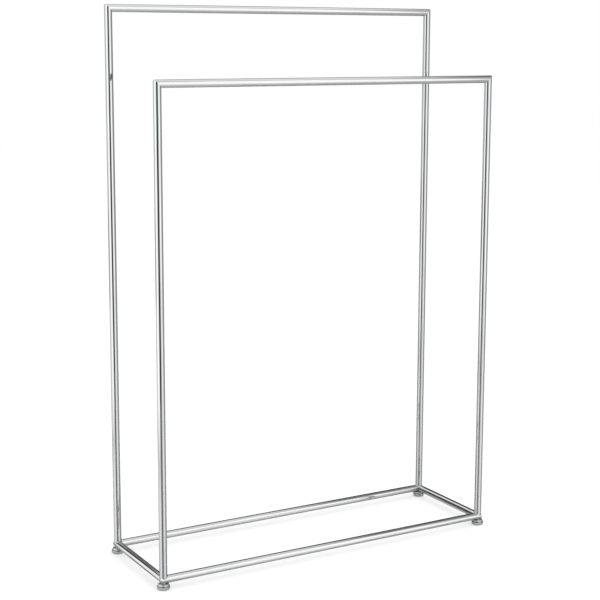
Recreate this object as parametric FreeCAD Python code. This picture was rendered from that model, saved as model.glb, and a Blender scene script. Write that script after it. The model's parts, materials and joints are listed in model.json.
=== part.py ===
import FreeCAD, Part
import math
import os

# Freestanding towel stand: a tall rear hoop and a lower front hoop of round tube on a mitred base, with a
# levelling foot under each corner. Millimetres, +Z up, front towards -Y. The origin is on the floor, under
# the middle of the base, with every foot screwed fully in.

# Frame, over the outsides of the tubes
FRAME_WIDTH = 600.0
FRAME_DEPTH = 188.0
REAR_BAR_TOP = 870.0
FRONT_BAR_TOP = 761.0

# Tube, one size throughout
TUBE_DIA = 12.0
TUBE_WALL = 1.0
RIDGE_RADIUS = 1.5  # the outer ridge of each mitre is polished round
RIDGE_OVERCUT = 0.05  # the polish meets the tube at a slight angle, not along it
BRAZE_GAP = 0.05  # filled by the braze where a piece stands on or in a tube

# Thread between each foot and its corner bush, at its major diameter
THREAD_DIA = 6.0
THREAD_CLEARANCE = 0.05
THREAD_ENGAGEMENT = 12.0  # still in the bush with the foot fully out
FOOT_TRAVEL = 8.0
BORE_SPARE = 2.0  # room above the stud's tip with the foot fully in

# Corner bush
BUSH_NECK_WALL = 1.25  # round the thread, where the bush passes through the rails
BUSH_CAP = 3.0  # closed end above the bore
BUSH_CHAMFER = 0.6

# Foot spindle: stud, flared collar, groove, journal and riveted head
STUD_CHAMFER = 0.7
COLLAR_HEIGHT = 2.8
COLLAR_TOP_DIA = 16.2
COLLAR_DIA = 18.6
COLLAR_TOP_EDGE = 0.5
COLLAR_BOTTOM_EDGE = 0.3
GROOVE_HEIGHT = 0.8
GROOVE_DIA = 14.0
JOURNAL_DIA = 7.0
HEAD_DIA = 10.0
HEAD_THICKNESS = 0.8

# Foot base: the disc that stays still on the floor while the collar turns
BASE_DIA = 20.0
BASE_TOP_EDGE = 0.5
BASE_BOTTOM_EDGE = 1.8
WEB_THICKNESS = 2.75  # what the journal turns in
HEAD_ROOM = 0.4  # round and under the head
RUNNING_CLEARANCE = 0.05

# Foot pad
PAD_DIA = 15.0
PAD_SUNK = 0.8  # how far it is let into the base
PAD_PROUD = 0.5
PAD_CLEARANCE = 0.1
PAD_EDGE = 0.3

# Radii
TUBE_R = TUBE_DIA / 2
BORE_R = TUBE_R - TUBE_WALL
THREAD_R = THREAD_DIA / 2
TAPPED_R = THREAD_R + THREAD_CLEARANCE
NECK_R = TAPPED_R + BUSH_NECK_WALL
JOURNAL_R = JOURNAL_DIA / 2
HEAD_R = HEAD_DIA / 2
PAD_R = PAD_DIA / 2

# Heights above the floor, from the pad up
PAD_TOP_Z = PAD_PROUD + PAD_SUNK
HEAD_BOTTOM_Z = PAD_TOP_Z + HEAD_ROOM
HEAD_TOP_Z = HEAD_BOTTOM_Z + HEAD_THICKNESS
WEB_BOTTOM_Z = HEAD_TOP_Z + RUNNING_CLEARANCE
BASE_TOP_Z = WEB_BOTTOM_Z + WEB_THICKNESS
GROOVE_BOTTOM_Z = BASE_TOP_Z + RUNNING_CLEARANCE
COLLAR_BOTTOM_Z = GROOVE_BOTTOM_Z + GROOVE_HEIGHT
COLLAR_TOP_Z = COLLAR_BOTTOM_Z + COLLAR_HEIGHT
RAIL_BOTTOM_Z = COLLAR_TOP_Z + RUNNING_CLEARANCE
RAIL_Z = RAIL_BOTTOM_Z + TUBE_R
RAIL_TOP_Z = RAIL_Z + TUBE_R
STUD_TOP_Z = COLLAR_TOP_Z + FOOT_TRAVEL + THREAD_ENGAGEMENT
TAPPED_TOP_Z = STUD_TOP_Z + BORE_SPARE
BUSH_TOP_Z = TAPPED_TOP_Z + BUSH_CAP

# Corners of the base, and the hoops that stand on them
CORNER_X = FRAME_WIDTH / 2 - TUBE_R
CORNER_Y = FRAME_DEPTH / 2 - TUBE_R
SIDES = {"left": -1, "right": 1}
HOOPS = {"front": -1, "rear": 1}
BAR_Z = {"front": FRONT_BAR_TOP - TUBE_R, "rear": REAR_BAR_TOP - TUBE_R}

X = FreeCAD.Vector(1, 0, 0)
Y = FreeCAD.Vector(0, 1, 0)
Z = FreeCAD.Vector(0, 0, 1)
MARGIN = 2 * TUBE_DIA  # how far a raw tube or a cutter runs past what trims it


def corner(side, hoop, z):
    """The point on the corner's upright axis at height z."""
    return FreeCAD.Vector(SIDES[side] * CORNER_X, HOOPS[hoop] * CORNER_Y, z)


# ---- shapes that the pieces are made from ----


def rod(start, end, radius):
    """A round bar between two points, running past both."""
    along = (end - start).normalize()
    length = (end - start).Length + 2 * MARGIN
    return Part.makeCylinder(radius, length, start - along * MARGIN, along)


def prism(corners, travel):
    """What a flat outline sweeps through along travel."""
    return Part.Face(Part.makePolygon(corners + corners[:1])).extrude(travel)


def mitred(solid, start, end, inward, ends):
    """Trims a bar between two corners of a frame. A mitred end is cut at 45 degrees, longest on the outside of
    the frame, and a square end is cut straight across at its corner."""
    along = (end - start).normalize()
    slant_start = along * (MARGIN if ends[0] == "mitred" else 0)
    slant_end = along * (MARGIN if ends[1] == "mitred" else 0)
    outside = inward * -MARGIN
    thickness = along.cross(inward) * MARGIN
    corners = [
        start + outside - slant_start,
        end + outside + slant_end,
        end - outside - slant_end,
        start - outside + slant_start,
    ]
    corners = [point - thickness for point in corners]
    return solid.common(prism(corners, thickness * 2))


def mitred_tube(start, end, inward, ends):
    hollow = rod(start, end, TUBE_R).cut(rod(start, end, BORE_R))
    return mitred(hollow, start, end, inward, ends)


def ridge_cutter(point, out_1, out_2):
    """What polishing takes off the outer ridge of the mitre at point: the two tubes' outsides face out_1 and
    out_2 there."""
    across = out_1.cross(out_2) * MARGIN
    middle = point + (out_1 + out_2) * (TUBE_R - RIDGE_RADIUS)
    reach_1 = out_1 * TUBE_R
    reach_2 = out_2 * TUBE_R
    corners = [middle, middle + reach_1, middle + reach_1 + reach_2, middle + reach_2]
    block = prism([c - across for c in corners], across * 2)
    return block.cut(rod(middle - across, middle + across, RIDGE_RADIUS + RIDGE_OVERCUT))


def turned(profile, centre):
    """A solid turned about the upright line through centre. The profile is (radius, height, rounding) corners,
    and a rounding above 0 makes the corner an arc of that radius."""
    points = [centre + X * radius + Z * height for radius, height, _ in profile]
    arcs = []
    for i, (_, _, rounding) in enumerate(profile):
        back = (points[i - 1] - points[i]).normalize()
        on = (points[(i + 1) % len(points)] - points[i]).normalize()
        half_angle = back.getAngle(on) / 2
        reach = rounding / math.tan(half_angle)
        inset = rounding / math.sin(half_angle) - rounding
        middle = points[i] + (back + on).normalize() * inset if rounding else points[i]
        arcs.append((points[i] + back * reach, middle, points[i] + on * reach))
    edges = []
    for i, (arc_start, arc_middle, arc_end) in enumerate(arcs):
        if profile[i][2]:
            edges.append(Part.Arc(arc_start, arc_middle, arc_end).toShape())
        edges.append(Part.makeLine(arc_end, arcs[(i + 1) % len(arcs)][0]))
    return Part.Face(Part.Wire(edges)).revolve(centre, Z, 360)


# ---- base ----

# Each rail's two corners, and the way into the base from it
RAILS = {
    "front": (("left", "front"), ("right", "front"), Y),
    "rear": (("left", "rear"), ("right", "rear"), -Y),
    "left": (("left", "front"), ("left", "rear"), X),
    "right": (("right", "front"), ("right", "rear"), -X),
}
BOTH_MITRED = ("mitred", "mitred")


def rail_envelope(name):
    """The space a post has to leave for a rail: its outside, with a braze gap round it."""
    first, last, inward = RAILS[name]
    start = corner(*first, RAIL_Z)
    end = corner(*last, RAIL_Z)
    return mitred(rod(start, end, TUBE_R + BRAZE_GAP), start, end, inward, BOTH_MITRED)


def bush_hole(side, hoop):
    """The upright hole through the mitred corner that the bush's neck goes into."""
    low = corner(side, hoop, RAIL_BOTTOM_Z)
    return rod(low, corner(side, hoop, RAIL_TOP_Z), NECK_R + BRAZE_GAP)


def base_rail(name):
    first, last, inward = RAILS[name]
    start = corner(*first, RAIL_Z)
    end = corner(*last, RAIL_Z)
    rail = mitred_tube(start, end, inward, BOTH_MITRED)
    for side, hoop in (first, last):
        rail = rail.cut(bush_hole(side, hoop))
        rail = rail.cut(ridge_cutter(corner(side, hoop, RAIL_Z), X * SIDES[side], Y * HOOPS[hoop]))
    return rail


# ---- hoops ----


def post(side, hoop):
    """An upright, mitred to its towel bar at the top and coped at the foot to sit over the mitred corner."""
    foot = corner(side, hoop, RAIL_Z)
    top = corner(side, hoop, BAR_Z[hoop])
    outward = X * SIDES[side]
    upright = mitred_tube(foot, top, -outward, ("square", "mitred"))
    corner_envelope = rail_envelope(hoop).fuse(rail_envelope(side))
    return upright.cut(corner_envelope).cut(ridge_cutter(top, outward, Z))


def towel_bar(hoop):
    left = corner("left", hoop, BAR_Z[hoop])
    right = corner("right", hoop, BAR_Z[hoop])
    bar = mitred_tube(left, right, -Z, BOTH_MITRED)
    return bar.cut(ridge_cutter(left, -X, Z)).cut(ridge_cutter(right, X, Z))


def corner_bush(side, hoop):
    """Takes the foot's thread: its neck goes through the corner, and its plug stands in the post's bore."""
    plug_r = BORE_R - BRAZE_GAP
    shoulder_z = RAIL_TOP_Z + BRAZE_GAP
    profile = [
        (TAPPED_R, RAIL_BOTTOM_Z, 0),
        (NECK_R, RAIL_BOTTOM_Z, 0),
        (NECK_R, shoulder_z, 0),
        (plug_r, shoulder_z, 0),
        (plug_r, BUSH_TOP_Z - BUSH_CHAMFER, 0),
        (plug_r - BUSH_CHAMFER, BUSH_TOP_Z, 0),
        (0, BUSH_TOP_Z, 0),
        (0, TAPPED_TOP_Z, 0),
        (TAPPED_R, TAPPED_TOP_Z, 0),
    ]
    return turned(profile, corner(side, hoop, 0))


# ---- levelling feet ----


def foot_spindle(side, hoop):
    profile = [
        (0, STUD_TOP_Z, 0),
        (THREAD_R - STUD_CHAMFER, STUD_TOP_Z, 0),
        (THREAD_R, STUD_TOP_Z - STUD_CHAMFER, 0),
        (THREAD_R, COLLAR_TOP_Z, 0),
        (COLLAR_TOP_DIA / 2, COLLAR_TOP_Z, COLLAR_TOP_EDGE),
        (COLLAR_DIA / 2, COLLAR_BOTTOM_Z, COLLAR_BOTTOM_EDGE),
        (GROOVE_DIA / 2, COLLAR_BOTTOM_Z, 0),
        (GROOVE_DIA / 2, GROOVE_BOTTOM_Z, 0),
        (JOURNAL_R, GROOVE_BOTTOM_Z, 0),
        (JOURNAL_R, HEAD_TOP_Z, 0),
        (HEAD_R, HEAD_TOP_Z, 0),
        (HEAD_R, HEAD_BOTTOM_Z, 0),
        (0, HEAD_BOTTOM_Z, 0),
    ]
    return turned(profile, corner(side, hoop, 0))


def foot_base(side, hoop):
    journal_hole_r = JOURNAL_R + RUNNING_CLEARANCE
    head_recess_r = HEAD_R + HEAD_ROOM
    pad_recess_r = PAD_R + PAD_CLEARANCE
    profile = [
        (journal_hole_r, BASE_TOP_Z, 0),
        (BASE_DIA / 2, BASE_TOP_Z, BASE_TOP_EDGE),
        (BASE_DIA / 2, PAD_PROUD, BASE_BOTTOM_EDGE),
        (pad_recess_r, PAD_PROUD, 0),
        (pad_recess_r, PAD_TOP_Z, 0),
        (head_recess_r, PAD_TOP_Z, 0),
        (head_recess_r, WEB_BOTTOM_Z, 0),
        (journal_hole_r, WEB_BOTTOM_Z, 0),
    ]
    return turned(profile, corner(side, hoop, 0))


def foot_pad(side, hoop):
    profile = [
        (0, 0, 0),
        (PAD_R, 0, PAD_EDGE),
        (PAD_R, PAD_TOP_Z, 0),
        (0, PAD_TOP_Z, 0),
    ]
    return turned(profile, corner(side, hoop, 0))


# ---- all pieces, each in its own file ----

pieces = {}
for rail_name in RAILS:
    pieces["base_%s_rail" % rail_name] = base_rail(rail_name)
for hoop_name in HOOPS:
    pieces["%s_towel_bar" % hoop_name] = towel_bar(hoop_name)
    for side_name in SIDES:
        place = "%s_%s" % (hoop_name, side_name)
        pieces["%s_post" % place] = post(side_name, hoop_name)
        pieces["%s_bush" % place] = corner_bush(side_name, hoop_name)
        pieces["%s_foot_spindle" % place] = foot_spindle(side_name, hoop_name)
        pieces["%s_foot_base" % place] = foot_base(side_name, hoop_name)
        pieces["%s_foot_pad" % place] = foot_pad(side_name, hoop_name)

os.makedirs("parts", exist_ok=True)
for node, shape in pieces.items():
    solids = shape.Solids
    print("%-28s solids %d, valid %s, %9.1f mm3" % (node, len(solids), shape.isValid(), shape.Volume))
    (solids[0] if len(solids) == 1 else shape).exportStep("parts/%s.step" % node)
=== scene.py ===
import json
import math

import bpy
from mathutils import Matrix, Vector

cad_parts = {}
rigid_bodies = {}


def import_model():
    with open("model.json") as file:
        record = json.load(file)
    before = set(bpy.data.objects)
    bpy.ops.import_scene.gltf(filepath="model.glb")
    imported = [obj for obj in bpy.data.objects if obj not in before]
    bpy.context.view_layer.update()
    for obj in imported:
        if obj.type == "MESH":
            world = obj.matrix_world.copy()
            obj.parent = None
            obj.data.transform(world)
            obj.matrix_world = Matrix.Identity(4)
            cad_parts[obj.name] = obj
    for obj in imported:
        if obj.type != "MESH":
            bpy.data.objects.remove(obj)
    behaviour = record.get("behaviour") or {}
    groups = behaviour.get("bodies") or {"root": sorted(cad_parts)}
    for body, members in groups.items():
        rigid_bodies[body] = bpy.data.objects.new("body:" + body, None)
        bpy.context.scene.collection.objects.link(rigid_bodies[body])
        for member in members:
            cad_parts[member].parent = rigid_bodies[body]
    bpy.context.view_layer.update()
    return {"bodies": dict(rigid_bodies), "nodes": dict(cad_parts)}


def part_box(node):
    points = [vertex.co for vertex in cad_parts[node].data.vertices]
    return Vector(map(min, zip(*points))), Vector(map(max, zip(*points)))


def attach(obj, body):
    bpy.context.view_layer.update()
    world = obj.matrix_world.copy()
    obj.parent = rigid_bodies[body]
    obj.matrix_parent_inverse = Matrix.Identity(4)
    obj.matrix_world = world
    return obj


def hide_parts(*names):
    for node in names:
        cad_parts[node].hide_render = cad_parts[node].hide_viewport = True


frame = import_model()

# Freestanding towel stand in polished chrome. Metres, +Z up, front towards -Y, in the CAD's own frame.

MM = 0.001
SIDES = {"left": -1, "right": 1}
HOOPS = {"front": -1, "rear": 1}
CORNERS = [(hoop, side) for hoop in HOOPS for side in SIDES]

# Each tube, with the axis that it runs along.
TUBES = {f"base_{hoop}_rail": "x" for hoop in HOOPS}
TUBES |= {f"base_{side}_rail": "y" for side in SIDES}
TUBES |= {f"{hoop}_towel_bar": "x" for hoop in HOOPS}
TUBES |= {f"{hoop}_{side}_post": "z" for hoop, side in CORNERS}

# ---- camera, fitted to the photograph's eight tube corners ----

CAMERA_AZIMUTH = math.radians(-30.055)  # 0 looks along +Y
CAMERA_ELEVATION = math.radians(9.294)
CAMERA_ROLL = math.radians(0.19)
CAMERA_PLACE = Vector((-1.1300, -1.9400, 0.8186))
CAMERA_SHIFT = -0.05  # small enough to keep the stand in the picture from its other sides
SENSOR = 36.0  # millimetres, as the lens is
FOCAL_PIXELS = 1412.1
PICTURE_PIXELS = 600

# ---- tube walls ----

WALL_COSINE = math.cos(math.radians(10))  # a wall's facets face the tube's axis within 10 degrees

# ---- feet, as in the solids ----

FOOT_GAP = 0.05 * MM  # between the rails and a collar that is screwed in
COLLAR_HEIGHT = 2.8 * MM
COLLAR_TOP_DIA = 16.2 * MM
COLLAR_DIA = 18.6 * MM
COLLAR_TOP_EDGE = 0.5 * MM
COLLAR_BOTTOM_EDGE = 0.3 * MM
GROOVE_DIA = 14.0 * MM
GROOVE_HEIGHT = 0.8 * MM
JOURNAL_DIA = 7.0 * MM
HEAD_DIA = 10.0 * MM
HEAD_THICKNESS = 0.8 * MM
EDGE_STEPS = 6
TURNED_AROUND = 96

STUD_CHAMFER = 0.7 * MM
STUD_SUNK = 0.5 * MM  # how far the thread reaches down into the collar
THREAD_DIA = 6.0 * MM
THREAD_PITCH = 1.0 * MM
THREAD_DEPTH = 0.54 * MM
CREST_FLAT = 0.14  # the flats of the crest and the root, as shares of the pitch
ROOT_FLAT = 0.2
THREAD_ROWS = 8  # to a pitch
THREAD_AROUND = 48

# ---- braze round the foot of each post ----

BRAZE_RADIUS = 0.9 * MM
BRAZE_ROOT = 0.3 * MM  # how far it reaches in under the tubes' surfaces
BRAZE_LAP = 0.03 * MM  # how far its edges dip under them
BRAZE_STEPS = 6
BRAZE_AROUND = 144  # a multiple of 8, so that it is even on both sides of each mitre

# ---- finishes ----

WHITE = (1.0, 1.0, 1.0, 1.0)
CHROME_LIGHT = (0.575, 0.582, 0.586, 1.0)
CHROME_DEEP = (0.535, 0.545, 0.553, 1.0)
DISC_LIGHT = (0.64, 0.646, 0.65, 1.0)
DISC_DEEP = (0.58, 0.59, 0.596, 1.0)
SATIN_LIGHT = (0.56, 0.566, 0.57, 1.0)
SATIN_DEEP = (0.50, 0.51, 0.516, 1.0)
STEEL_LIGHT = (0.47, 0.475, 0.47, 1.0)
STEEL_DEEP = (0.40, 0.405, 0.40, 1.0)
RUBBER_DARK = (0.035, 0.035, 0.037, 1.0)
RUBBER_DUSTY = (0.085, 0.083, 0.08, 1.0)

# Noise scales, in grains to a metre.
BELT_ALONG = 4.0
BELT_ACROSS = 1800.0
TUBE_CLOUDS = (9.0, 9.0, 9.0)
TUBE_PEEL = (70.0, 70.0, 70.0)
TURNED_CLOUDS = (220.0, 220.0, 220.0)
RUBBER_PEBBLES = 1600.0
RUBBER_DUST = (500.0, 500.0, 900.0)
PAPER_FIBRE = (400.0, 400.0, 400.0)
LATHE_RINGS = 90.0  # to a piece's width, and to its height

# ---- studio: radiance 1 is white ----

BACKGROUND = 1.0  # what the camera sees
SURROUND = 0.78  # what the chrome sees where there is no card
AMBIENT = 0.75  # what lights the floor and the rubber
FLOOR_HALF = 8.0
FLOOR_ALBEDO = 0.8
FLOOR_GLOSS = 0.95
FLOOR_LIFT = 0.42  # what the camera sees of the floor over its own light
DULL_TO = 0.025  # how far from a foot's middle the floor is dull
GLOSSY_FROM = 0.06  # how far from it the gloss is whole


def middle_of(node):
    low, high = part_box(node)
    return (low + high) / 2


def linked(name, data):
    """A new object in the scene."""
    thing = bpy.data.objects.new(name, data)
    bpy.context.scene.collection.objects.link(thing)
    return thing


# ---- node helpers ----


def give(tree, socket, value):
    """Sets an input to a value, or links it to another node's output."""
    if isinstance(value, bpy.types.NodeSocket):
        tree.links.new(value, socket)
    else:
        socket.default_value = value


def add(tree, kind, settings=None, **inputs):
    """A node with its settings and its inputs, each a value or another node's output."""
    node = tree.nodes.new(kind)
    for name, value in (settings or {}).items():
        setattr(node, name, value)
    for name, value in inputs.items():
        give(tree, node.inputs[name.replace("_", " ")], value)
    return node


def joined(tree, kind, settings, *values):
    """The result of a node whose inputs, in order, are values or other nodes' outputs."""
    node = add(tree, kind, settings)
    for socket, value in zip([socket for socket in node.inputs if socket.enabled], values):
        give(tree, socket, value)
    return next(socket for socket in node.outputs if socket.enabled)


def vectors(tree, operation, *values):
    return joined(tree, "ShaderNodeVectorMath", {"operation": operation}, *values)


def numbers(tree, operation, *values):
    return joined(tree, "ShaderNodeMath", {"operation": operation}, *values)


def mapped(tree, value, low, high, start=0.3, end=0.7):
    """A value from start to end, taken to low to high. Most of a noise lies between 0.3 and 0.7."""
    return joined(tree, "ShaderNodeMapRange", {"clamp": True}, value, start, end, low, high)


def stretched_noise(tree, coordinates, scales, detail, seed):
    """Noise whose grain is 1/scale metres long along each axis."""
    placed = add(
        tree,
        "ShaderNodeMapping",
        Vector=coordinates,
        Scale=scales,
        Location=(seed, -seed, 2 * seed),
    )
    noise = add(
        tree,
        "ShaderNodeTexNoise",
        Vector=placed.outputs["Vector"],
        Scale=1.0,
        Detail=detail,
        Roughness=0.55,
    )
    return noise.outputs["Fac"]


def tinted(tree, noise, light, deep, start=0.3, end=0.7):
    """A colour that goes from light to deep as the noise rises from start to end."""
    share = mapped(tree, noise, 0.0, 1.0, start, end)
    return joined(tree, "ShaderNodeMix", {"data_type": "RGBA"}, share, light, deep)


# ---- materials ----


def new_material(name):
    material = bpy.data.materials.new(name)
    material.use_nodes = True
    material.node_tree.nodes.clear()
    return material, material.node_tree


def finish_material(tree, shader):
    add(tree, "ShaderNodeOutputMaterial", Surface=shader)


def chrome(name, grain):
    """Chrome plate over ground tube. grain is the noise scale along X, Y and Z: low along the tube, where the
    belt ran, and high across it."""
    material, tree = new_material(name)
    place = add(tree, "ShaderNodeTexCoord").outputs["Object"]
    clouds = stretched_noise(tree, place, TUBE_CLOUDS, detail=3.0, seed=0.7)
    streaks = stretched_noise(tree, place, grain, detail=4.0, seed=1.3)
    peel = stretched_noise(tree, place, TUBE_PEEL, detail=2.0, seed=2.9)
    belt = add(tree, "ShaderNodeBump", Strength=0.12, Distance=0.01 * MM, Height=streaks)
    surface = add(
        tree,
        "ShaderNodeBump",
        Strength=0.35,
        Distance=0.05 * MM,
        Height=peel,
        Normal=belt.outputs["Normal"],
    )
    metal = add(
        tree,
        "ShaderNodeBsdfPrincipled",
        Metallic=1.0,
        Base_Color=tinted(tree, clouds, CHROME_LIGHT, CHROME_DEEP),
        Roughness=mapped(tree, streaks, low=0.02, high=0.06),
        Normal=surface.outputs["Normal"],
    )
    finish_material(tree, metal.outputs[0])
    return material


def turned_metal(name, light, deep, smoothest, roughest):
    """Plated metal off a lathe. Its rings follow the distance from the piece's own upright axis, which is the
    middle of its generated coordinates."""
    material, tree = new_material(name)
    source = add(tree, "ShaderNodeTexCoord")
    centred = vectors(tree, "SUBTRACT", source.outputs["Generated"], (0.5, 0.5, 0.0))
    reach = vectors(tree, "LENGTH", vectors(tree, "MULTIPLY", centred, (1.0, 1.0, 0.0)))
    parts = add(tree, "ShaderNodeSeparateXYZ", Vector=source.outputs["Generated"])
    ring = add(tree, "ShaderNodeCombineXYZ", X=reach, Y=parts.outputs["Z"])
    noise = add(
        tree,
        "ShaderNodeTexNoise",
        Vector=ring.outputs[0],
        Scale=LATHE_RINGS,
        Detail=4.0,
        Roughness=0.6,
    )
    marks = noise.outputs["Fac"]
    clouds = stretched_noise(tree, source.outputs["Object"], TURNED_CLOUDS, detail=2.0, seed=0.4)
    surface = add(tree, "ShaderNodeBump", Strength=0.25, Distance=0.02 * MM, Height=marks)
    metal = add(
        tree,
        "ShaderNodeBsdfPrincipled",
        Metallic=1.0,
        Base_Color=tinted(tree, clouds, light, deep),
        Roughness=mapped(tree, marks, low=smoothest, high=roughest),
        Normal=surface.outputs["Normal"],
    )
    finish_material(tree, metal.outputs[0])
    return material


def rubber(name):
    """Matt moulded rubber with a fine pebble and a little floor dust on it."""
    material, tree = new_material(name)
    place = add(tree, "ShaderNodeTexCoord").outputs["Object"]
    pebble = add(tree, "ShaderNodeTexVoronoi", Vector=place, Scale=RUBBER_PEBBLES)
    dust = stretched_noise(tree, place, RUBBER_DUST, detail=4.0, seed=3.1)
    surface = add(
        tree,
        "ShaderNodeBump",
        Strength=0.4,
        Distance=0.05 * MM,
        Height=pebble.outputs["Distance"],
    )
    skin = add(
        tree,
        "ShaderNodeBsdfPrincipled",
        Base_Color=tinted(tree, dust, RUBBER_DARK, RUBBER_DUSTY, start=0.45, end=0.8),
        Roughness=mapped(tree, dust, low=0.62, high=0.85),
        Normal=surface.outputs["Normal"],
    )
    finish_material(tree, skin.outputs[0])
    return material


CHROME = {
    "x": chrome("chrome_along_x", (BELT_ALONG, BELT_ACROSS, BELT_ACROSS)),
    "y": chrome("chrome_along_y", (BELT_ACROSS, BELT_ALONG, BELT_ACROSS)),
    "z": chrome("chrome_along_z", (BELT_ACROSS, BELT_ACROSS, BELT_ALONG)),
}
TURNED = turned_metal("turned_chrome", DISC_LIGHT, DISC_DEEP, smoothest=0.18, roughest=0.28)
SATIN = turned_metal("satin_chrome", SATIN_LIGHT, SATIN_DEEP, smoothest=0.42, roughest=0.54)
PLATED = turned_metal("plated_steel", STEEL_LIGHT, STEEL_DEEP, smoothest=0.22, roughest=0.38)
RUBBER = rubber("moulded_rubber")


def dress(node, material):
    """Gives a CAD node its material."""
    mesh = frame["nodes"][node].data
    mesh.materials.clear()
    mesh.materials.append(material)


for tube, axis in TUBES.items():
    dress(tube, CHROME[axis])
for hoop, side in CORNERS:
    dress(f"{hoop}_{side}_bush", PLATED)
    dress(f"{hoop}_{side}_foot_base", TURNED)
    dress(f"{hoop}_{side}_foot_pad", RUBBER)


# ---- tube walls ----


def true_walls(node, axis):
    """Gives a tube's walls their exact normals, straight out from its axis or in to it, because chrome shows
    the least error in them. The cuts at its ends keep their own."""
    group = bpy.data.node_groups.new(f"{node}_walls", "GeometryNodeTree")
    for way in ("INPUT", "OUTPUT"):
        group.interface.new_socket("Mesh", in_out=way, socket_type="NodeSocketGeometry")
    across = [0.0 if letter == axis else 1.0 for letter in "xyz"]
    place = add(group, "GeometryNodeInputPosition").outputs[0]
    from_axis = vectors(group, "MULTIPLY", vectors(group, "SUBTRACT", place, middle_of(node)), across)
    outward = vectors(group, "NORMALIZE", from_axis)
    own = add(group, "GeometryNodeInputNormal").outputs
    facing = vectors(group, "DOT_PRODUCT", own["True Normal"], outward)
    of_face = joined(group, "GeometryNodeFieldOnDomain", {"domain": "FACE"}, facing)
    cosine = numbers(group, "ABSOLUTE", of_face)
    on_wall = joined(group, "FunctionNodeCompare", {"operation": "GREATER_THAN"}, cosine, WALL_COSINE)
    true = vectors(group, "SCALE", outward, numbers(group, "SIGN", of_face))
    chosen = joined(group, "GeometryNodeSwitch", {"input_type": "VECTOR"}, on_wall, own["Normal"], true)
    bare = add(group, "NodeGroupInput").outputs[0]
    mended = joined(group, "GeometryNodeSetMeshNormal", {"mode": "FREE", "domain": "CORNER"}, bare, chosen)
    group.links.new(mended, add(group, "NodeGroupOutput").inputs[0])
    frame["nodes"][node].modifiers.new("walls", "NODES").node_group = group


for tube, axis in TUBES.items():
    true_walls(tube, axis)


# ---- meshes ----


def new_piece(name, points, faces, place, material, sharp_above):
    """A smooth piece with sharp edges where its faces turn by more than that many degrees."""
    mesh = bpy.data.meshes.new(name)
    mesh.from_pydata(points, [], faces)
    mesh.validate()
    mesh.materials.append(material)
    mesh.shade_smooth()
    mesh.set_sharp_from_angle(angle=math.radians(sharp_above))
    piece = linked(name, mesh)
    piece.location = place
    return piece


def rounded(profile, steps):
    """A closed outline's (radius, height, rounding) corners, with each rounding above 0 made an arc."""
    points = []
    for i, (radius, height, rounding) in enumerate(profile):
        here = Vector((radius, height))
        if not rounding:
            points.append(here)
            continue
        back = (Vector(profile[i - 1][:2]) - here).normalized()
        on = (Vector(profile[(i + 1) % len(profile)][:2]) - here).normalized()
        half = back.angle(on) / 2
        centre = here + (back + on).normalized() * (rounding / math.sin(half))
        first = here + back * (rounding / math.tan(half)) - centre
        last = here + on * (rounding / math.tan(half)) - centre
        whole = first.angle(last)
        for k in range(steps + 1):
            share = k / steps
            blend = first * math.sin((1 - share) * whole) + last * math.sin(share * whole)
            points.append(centre + blend / math.sin(whole))
    return points


def revolved(profile, around):
    """(points, faces) of an outline turned about the upright axis, on which it starts and ends."""
    inner = profile[1:-1]
    points = [(0.0, 0.0, profile[0].y), (0.0, 0.0, profile[-1].y)]
    for k in range(around):
        turn = 2 * math.pi * k / around
        points += [(p.x * math.cos(turn), p.x * math.sin(turn), p.y) for p in inner]
    faces = []
    count = len(inner)
    for k in range(around):
        here = 2 + k * count
        there = 2 + (k + 1) % around * count
        faces.append((0, here, there))
        faces += [(here + i, here + i + 1, there + i + 1, there + i) for i in range(count - 1)]
        faces.append((1, there + count - 1, here + count - 1))
    return points, faces


def thread_radius(phase):
    """The radius at a phase from 0 to 1 along the pitch, of a 60 degree V with a flat crest and root."""
    distance = abs(phase - 0.5) * 2  # 1 at the crest's middle, 0 at the root's
    share = min(1.0, max(0.0, (distance - ROOT_FLAT) / (1 - CREST_FLAT - ROOT_FLAT)))
    return THREAD_DIA / 2 - THREAD_DEPTH * (1 - share)


def stud(bottom, top):
    """(points, faces) of a right-hand threaded stud from bottom to top, with a chamfered tip."""
    pitches = math.ceil((top - bottom) / THREAD_PITCH) + 1  # one more, for the columns that start lower
    rows = pitches * THREAD_ROWS
    points, faces = [], []
    for k in range(THREAD_AROUND + 1):
        turn = 2 * math.pi * k / THREAD_AROUND
        for j in range(rows + 1):
            height = bottom + THREAD_PITCH * (j / THREAD_ROWS + k / THREAD_AROUND - 1)
            inside = min(top, max(bottom, height))
            tip = THREAD_DIA / 2 - max(0.0, inside - (top - STUD_CHAMFER))
            radius = min(thread_radius(j / THREAD_ROWS % 1), tip)
            points.append((radius * math.cos(turn), radius * math.sin(turn), inside))
    for k in range(THREAD_AROUND):
        here, there = k * (rows + 1), (k + 1) * (rows + 1)
        faces += [(here + j, there + j, there + j + 1, here + j + 1) for j in range(rows)]
    return points, faces


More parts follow.
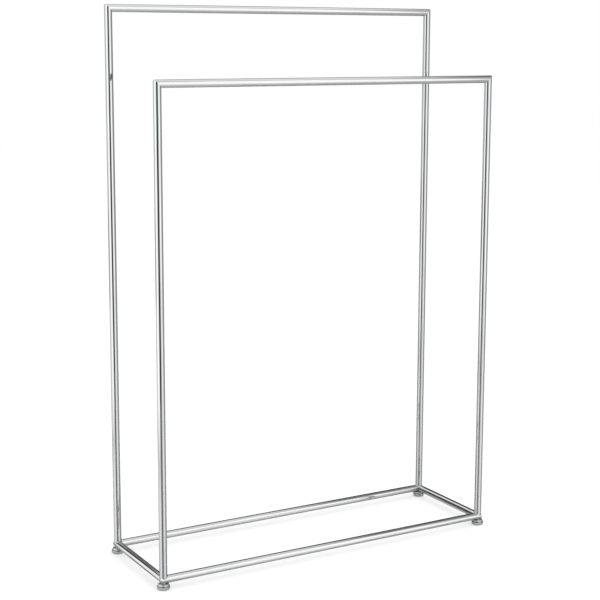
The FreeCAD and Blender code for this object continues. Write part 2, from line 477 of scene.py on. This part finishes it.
def spindle(hoop, side):
    """The foot's turning half: collar, groove, journal and head in one, with a real thread on its stud."""
    node = f"{hoop}_{side}_foot_spindle"
    low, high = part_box(node)
    collar_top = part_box("base_front_rail")[0].z - FOOT_GAP
    collar_bottom = collar_top - COLLAR_HEIGHT
    groove_bottom = collar_bottom - GROOVE_HEIGHT
    head_bottom = low.z
    head_top = head_bottom + HEAD_THICKNESS
    stud_root = THREAD_DIA / 2 - THREAD_DEPTH
    profile = [
        (0.0, collar_top, 0.0),
        (stud_root, collar_top, 0.0),
        (COLLAR_TOP_DIA / 2, collar_top, COLLAR_TOP_EDGE),
        (COLLAR_DIA / 2, collar_bottom, COLLAR_BOTTOM_EDGE),
        (GROOVE_DIA / 2, collar_bottom, 0.0),
        (GROOVE_DIA / 2, groove_bottom, 0.0),
        (JOURNAL_DIA / 2, groove_bottom, 0.0),
        (JOURNAL_DIA / 2, head_top, 0.0),
        (HEAD_DIA / 2, head_top, 0.0),
        (HEAD_DIA / 2, head_bottom, 0.0),
        (0.0, head_bottom, 0.0),
    ]
    points, faces = revolved(rounded(profile, EDGE_STEPS), TURNED_AROUND)
    stud_points, stud_faces = stud(collar_top - STUD_SUNK, high.z)
    start = len(points)
    points += stud_points
    faces += [tuple(start + i for i in face) for face in stud_faces]
    centre = middle_of(node)
    place = (centre.x, centre.y, 0.0)
    piece = new_piece(node + "_threaded", points, faces, place, SATIN, sharp_above=35)
    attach(piece, f"{hoop}_{side}_spindle")
    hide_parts(node)


for hoop, side in CORNERS:
    spindle(hoop, side)


def braze_section(turn, radius):
    """The fillet's outline at an angle round the post, from the post's wall to the rail's, then its root. The
    corner is at the origin, with the rails leaving along +X and +Y."""
    wall = Vector((math.cos(turn), math.sin(turn), 0))
    if wall.x >= wall.y:
        rail = Vector((0, wall.y, abs(wall.x)))
        along = Vector((1, 0, 0))
    else:
        rail = Vector((wall.x, 0, abs(wall.y)))
        along = Vector((0, 1, 0))
    seam = Vector((wall.x, wall.y, rail.z)) * radius
    spread = BRAZE_RADIUS / (1 + wall.dot(rail))
    centre = seam + (wall + rail) * spread
    on_post = centre - wall * BRAZE_RADIUS
    on_post.xy = on_post.xy.normalized() * (radius - BRAZE_LAP)
    on_rail = centre - rail * BRAZE_RADIUS
    lengthwise = along * on_rail.dot(along)
    on_rail = lengthwise + (on_rail - lengthwise).normalized() * (radius - BRAZE_LAP)
    curve = []
    for k in range(BRAZE_STEPS + 1):
        t = k / BRAZE_STEPS
        curve.append(on_post * (1 - t) ** 2 + seam * 2 * t * (1 - t) + on_rail * t * t)
    return curve + [seam - (wall + rail).normalized() * BRAZE_ROOT]


def braze(hoop, side):
    """The fillet round the foot of a post, where it was brazed onto the two mitred rails."""
    low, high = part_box(f"{hoop}_{side}_post")
    radius = (high.x - low.x) / 2
    rail = middle_of(f"base_{hoop}_rail")
    x_way, y_way = -SIDES[side], -HOOPS[hoop]
    points, faces = [], []
    for k in range(BRAZE_AROUND):
        for p in braze_section(2 * math.pi * (k + 0.5) / BRAZE_AROUND, radius):
            points.append((p.x * x_way, p.y * y_way, p.z))
    count = BRAZE_STEPS + 2
    for k in range(BRAZE_AROUND):
        here, there = k * count, (k + 1) % BRAZE_AROUND * count
        for i in range(count):
            j = (i + 1) % count
            face = (here + i, there + i, there + j, here + j)
            faces.append(face if x_way * y_way > 0 else face[::-1])
    place = ((low.x + high.x) / 2, (low.y + high.y) / 2, rail.z)
    piece = new_piece(f"{hoop}_{side}_braze", points, faces, place, CHROME["z"], sharp_above=50)
    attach(piece, "frame")


for hoop, side in CORNERS:
    braze(hoop, side)


# ---- camera, floor and studio ----


def make_camera():
    """The camera, looking down from its azimuth and rolled a little about its line of sight."""
    data = bpy.data.cameras.new("camera")
    data.sensor_width = SENSOR
    data.lens = SENSOR * (FOCAL_PIXELS / PICTURE_PIXELS)
    data.shift_y = CAMERA_SHIFT
    camera = linked("camera", data)
    x, y = math.cos(CAMERA_AZIMUTH), math.sin(CAMERA_AZIMUTH)
    flat = math.cos(CAMERA_ELEVATION)
    back = Vector((y * flat, -x * flat, math.sin(CAMERA_ELEVATION)))
    level_right = Vector((x, y, 0))
    level_up = back.cross(level_right)
    right = level_right * math.cos(CAMERA_ROLL) + level_up * math.sin(CAMERA_ROLL)
    up = level_up * math.cos(CAMERA_ROLL) - level_right * math.sin(CAMERA_ROLL)
    axes = Matrix((right, up, back)).transposed().to_4x4()
    camera.matrix_world = Matrix.Translation(CAMERA_PLACE) @ axes
    bpy.context.scene.camera = camera


def by_ray(tree, seen, mirrored, lit):
    """A strength for the rays that see the background, for those off metal, and for the rest, which give
    light."""
    path = add(tree, "ShaderNodeLightPath")
    clear = numbers(tree, "MAXIMUM", path.outputs["Is Camera Ray"], path.outputs["Is Transmission Ray"])
    off_metal = mapped(tree, path.outputs["Is Glossy Ray"], lit, mirrored, 0.0, 1.0)
    return mapped(tree, clear, off_metal, seen, 0.0, 1.0)


def make_world():
    world = bpy.data.worlds.new("studio")
    bpy.context.scene.world = world
    world.use_nodes = True
    tree = world.node_tree
    tree.nodes.clear()
    strength = by_ray(tree, seen=BACKGROUND, mirrored=SURROUND, lit=AMBIENT)
    light = add(tree, "ShaderNodeBackground", Color=WHITE, Strength=strength)
    add(tree, "ShaderNodeOutputWorld", Surface=light.outputs[0])


def paper(name):
    """The floor's material. Off the chrome the floor is seen at a low angle, where it has a gloss that
    mirrors the studio, but for a dull patch round each foot."""
    material, tree = new_material(name)
    place = add(tree, "ShaderNodeTexCoord").outputs["Object"]
    fibre = stretched_noise(tree, place, PAPER_FIBRE, detail=3.0, seed=0.9)
    surface = add(tree, "ShaderNodeBump", Strength=0.1, Distance=0.05 * MM, Height=fibre)
    sheet = add(
        tree,
        "ShaderNodeBsdfDiffuse",
        Color=(FLOOR_ALBEDO, FLOOR_ALBEDO, FLOOR_ALBEDO, 1.0),
        Normal=surface.outputs["Normal"],
    )
    lift = add(
        tree,
        "ShaderNodeEmission",
        Color=WHITE,
        Strength=by_ray(tree, seen=FLOOR_LIFT, mirrored=0.0, lit=0.0),
    )
    dull = joined(tree, "ShaderNodeAddShader", {}, sheet.outputs[0], lift.outputs[0])
    gloss = add(
        tree,
        "ShaderNodeBsdfGlossy",
        Color=(FLOOR_GLOSS, FLOOR_GLOSS, FLOOR_GLOSS, 1.0),
        Roughness=0.12,
    )
    low_angle = add(tree, "ShaderNodeLayerWeight", Blend=0.5).outputs["Facing"]
    off_metal = add(tree, "ShaderNodeLightPath").outputs["Is Glossy Ray"]
    foot = middle_of("rear_right_foot_pad")  # the other three mirror it
    to_foot = vectors(tree, "SUBTRACT", vectors(tree, "ABSOLUTE", place), (foot.x, foot.y, 0.0))
    away = mapped(tree, vectors(tree, "LENGTH", to_foot), 0.0, 1.0, DULL_TO, GLOSSY_FROM)
    share = numbers(tree, "MULTIPLY", numbers(tree, "MULTIPLY", low_angle, off_metal), away)
    finish_material(tree, joined(tree, "ShaderNodeMixShader", {}, share, dull, gloss.outputs[0]))
    return material


def make_floor():
    """A floor that stays under the lowest foot. In the CAD's frame a foot that is screwed out goes down."""
    half = FLOOR_HALF
    corners = [(-half, -half, 0), (half, -half, 0), (half, half, 0), (-half, half, 0)]
    mesh = bpy.data.meshes.new("floor")
    mesh.from_pydata(corners, [], [(0, 1, 2, 3)])
    mesh.materials.append(paper("paper"))
    floor = linked("floor", mesh)
    for hoop, side in CORNERS:
        below = floor.constraints.new("FLOOR")
        below.target = frame["bodies"][f"{hoop}_{side}_foot"]
        below.floor_location = "FLOOR_NEGATIVE_Z"


def lamp(name, place, target, width, height, radiance):
    """A soft light on the floor and the rubber. Metal doesn't mirror it: the cards stand in for it there."""
    data = bpy.data.lights.new(name, "AREA")
    data.shape = "RECTANGLE"
    data.size = width
    data.size_y = height
    data.energy = math.pi * width * height * radiance  # watts
    light = linked(name, data)
    back = Vector(place) - Vector(target)
    light.matrix_world = Matrix.Translation(place) @ back.to_track_quat("Z", "Y").to_matrix().to_4x4()
    light.visible_camera = False
    light.visible_glossy = False


def card_material(name, radiance):
    """A card's material, which fades out where the card's cover goes from 1 to 0."""
    material, tree = new_material(name)
    cover = add(tree, "ShaderNodeAttribute", {"attribute_name": "cover"}).outputs["Fac"]
    faded = joined(tree, "ShaderNodeMapRange", {"interpolation_type": "SMOOTHSTEP"}, cover)
    clear = add(tree, "ShaderNodeBsdfTransparent").outputs[0]
    glow = add(tree, "ShaderNodeEmission", Strength=radiance).outputs[0]
    finish_material(tree, joined(tree, "ShaderNodeMixShader", {}, faded, clear, glow))
    return material


def card(name, outline, radiance, fade):
    """A card that shows only in reflections. Its edge fades out over that share of its width."""
    outer = [Vector(p) for p in outline]
    count = len(outer)
    centre = sum(outer, Vector()) / count
    inner = [centre + (p - centre) * (1 - 2 * fade) for p in outer]
    edge = [(i, (i + 1) % count, count + (i + 1) % count, count + i) for i in range(count)]
    mesh = bpy.data.meshes.new(name)
    mesh.from_pydata(outer + inner, [], edge + [tuple(range(count, 2 * count))])
    mesh.attributes.new("cover", "FLOAT", "POINT").data.foreach_set("value", [0.0] * count + [1.0] * count)
    mesh.materials.append(card_material(name, radiance))
    panel = linked(name, mesh)
    panel.visible_camera = False
    panel.visible_diffuse = False
    panel.visible_shadow = False
    panel.visible_transmission = False


def upright(start, end, bottom, top):
    """A standing rectangle's corners, from the two ends of its foot."""
    return [(*start, bottom), (*end, bottom), (*end, top), (*start, top)]


def level(low, high, height):
    """A level rectangle's corners, from two that are opposite."""
    (left, front), (right, rear) = low, high
    return [(left, front, height), (right, front, height), (right, rear, height), (left, rear, height)]


bpy.context.scene.view_settings.view_transform = "Standard"
make_camera()
make_world()
make_floor()

lamp("lamp_front", (0.9, -2.4, 1.5), target=(0.0, 0.0, 0.6), width=1.9, height=3.0, radiance=0.85)
lamp("lamp_above", (0.3, -0.1, 2.3), target=(0.3, -0.1, 0.0), width=1.8, height=1.3, radiance=0.45)

# Soft boxes brighter than the surround, and flags darker than it.
card("softbox_front", upright((-0.15, -2.75), (1.95, -2.05), -0.3, 3.3), radiance=1.68, fade=0.1)
card("softbox_left", upright((-0.96, -0.5), (-0.96, 0.38), -0.1, 1.5), radiance=1.68, fade=0.14)
card("softbox_above", level((-0.8, -0.9), (1.4, 0.7), 2.31), radiance=1.28, fade=0.15)
card("softbox_low", upright((-0.98, 0.52), (-0.4, 0.86), -0.1, 0.3), radiance=1.53, fade=0.15)
card("softbox_rear", upright((-0.9, 2.02), (0.7, 2.02), 1.15, 2.15), radiance=1.28, fade=0.15)
card("flag_front", upright((-1.2, -0.76), (-0.5, -1.34), -0.5, 1.6), radiance=0.05, fade=0.14)
card("flag_rear_left", upright((-0.66, 0.69), (-0.08, 0.69), -0.1, 0.52), radiance=0.08, fade=0.12)
card("flag_rear", upright((-0.1, 2.0), (1.0, 2.0), -0.2, 1.4), radiance=0.3, fade=0.15)
sloping = [(0.6, 1.98, -0.3), (3.5, 1.98, -0.3), (3.5, 1.98, 3.9), (0.6, 1.98, 2.3)]
card("flag_rear_right", sloping, radiance=0.0, fade=0.08)
card("flag_above", level((1.3, -1.2), (3.2, 2.0), 2.3), radiance=0.25, fade=0.12)
card("flag_right", upright((1.5, -1.1), (1.5, 0.7), -0.2, 1.6), radiance=0.45, fade=0.12)
card("flag_far_right", upright((1.51, 0.5), (1.51, 2.2), -0.2, 2.0), radiance=0.1, fade=0.12)
